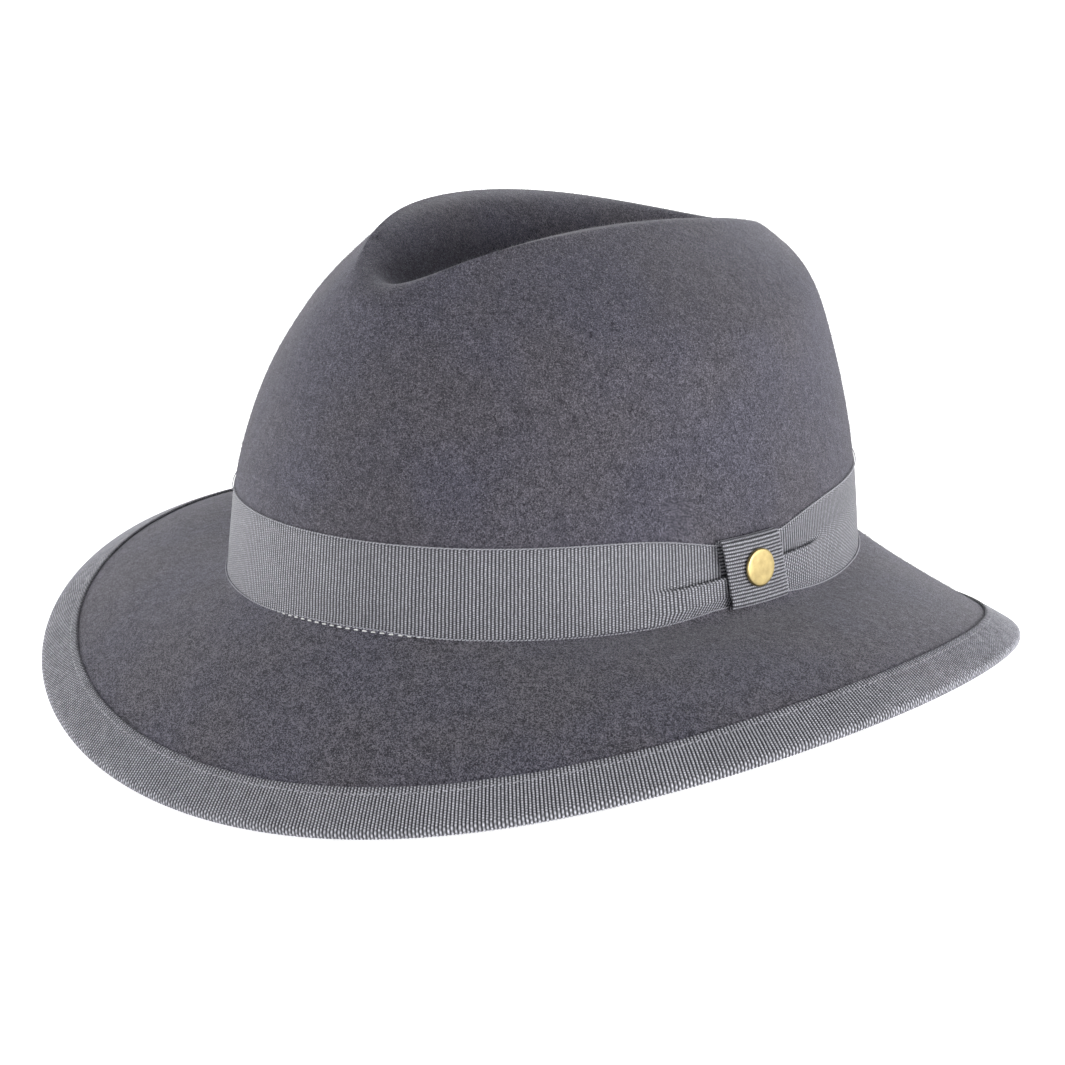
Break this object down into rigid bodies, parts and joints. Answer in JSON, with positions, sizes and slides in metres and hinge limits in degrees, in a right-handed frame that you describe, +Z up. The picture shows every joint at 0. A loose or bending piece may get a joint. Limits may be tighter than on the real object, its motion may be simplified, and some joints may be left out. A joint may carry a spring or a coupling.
{
  "type": "felt hat",
  "caption": "Centre-dent felt hat with a ribbon-bound sloping brim, a ribbon band drawn through a keeper with a plain round badge, a leather sweatband and a lining.",
  "frame": {"origin": "middle of the head opening, level with the brim break", "axes": "+Z up towards the crown, -Y the way the wearer looks, +X the wearer's left, where the keeper and badge are"},
  "size_m": [0.2884, 0.2918, 0.1497],
  "materials": {
    "felt": "brushed wool felt, matt with a soft nap",
    "ribbon": "ribbed grosgrain with a faint sheen",
    "grey_thread": "sewing thread",
    "white_thread": "sewing thread",
    "brass": "satin, with a raised polished rim",
    "leather": "fine-grain leather",
    "reed": "extruded plastic cord",
    "tape": "thin woven tape",
    "lining": "satin weave",
    "label": "plain woven label, blank"
  },
  "bodies": {
    "root": {"felt_hood": "felt", "brim_binding": "ribbon", "binding_stitching_top": "grey_thread", "binding_stitching_under": "grey_thread", "hatband": "ribbon", "hatband_keeper": "ribbon", "badge_disc": "brass", "badge_washer": "brass", "sweatband": "leather", "sweatband_reed": "reed", "reed_tape": "tape", "sweatband_stitching": "white_thread", "sweatband_bow": "ribbon", "lining_side": "lining", "lining_tip": "lining", "blank_label": "label"}
  },
  "joints": []
}
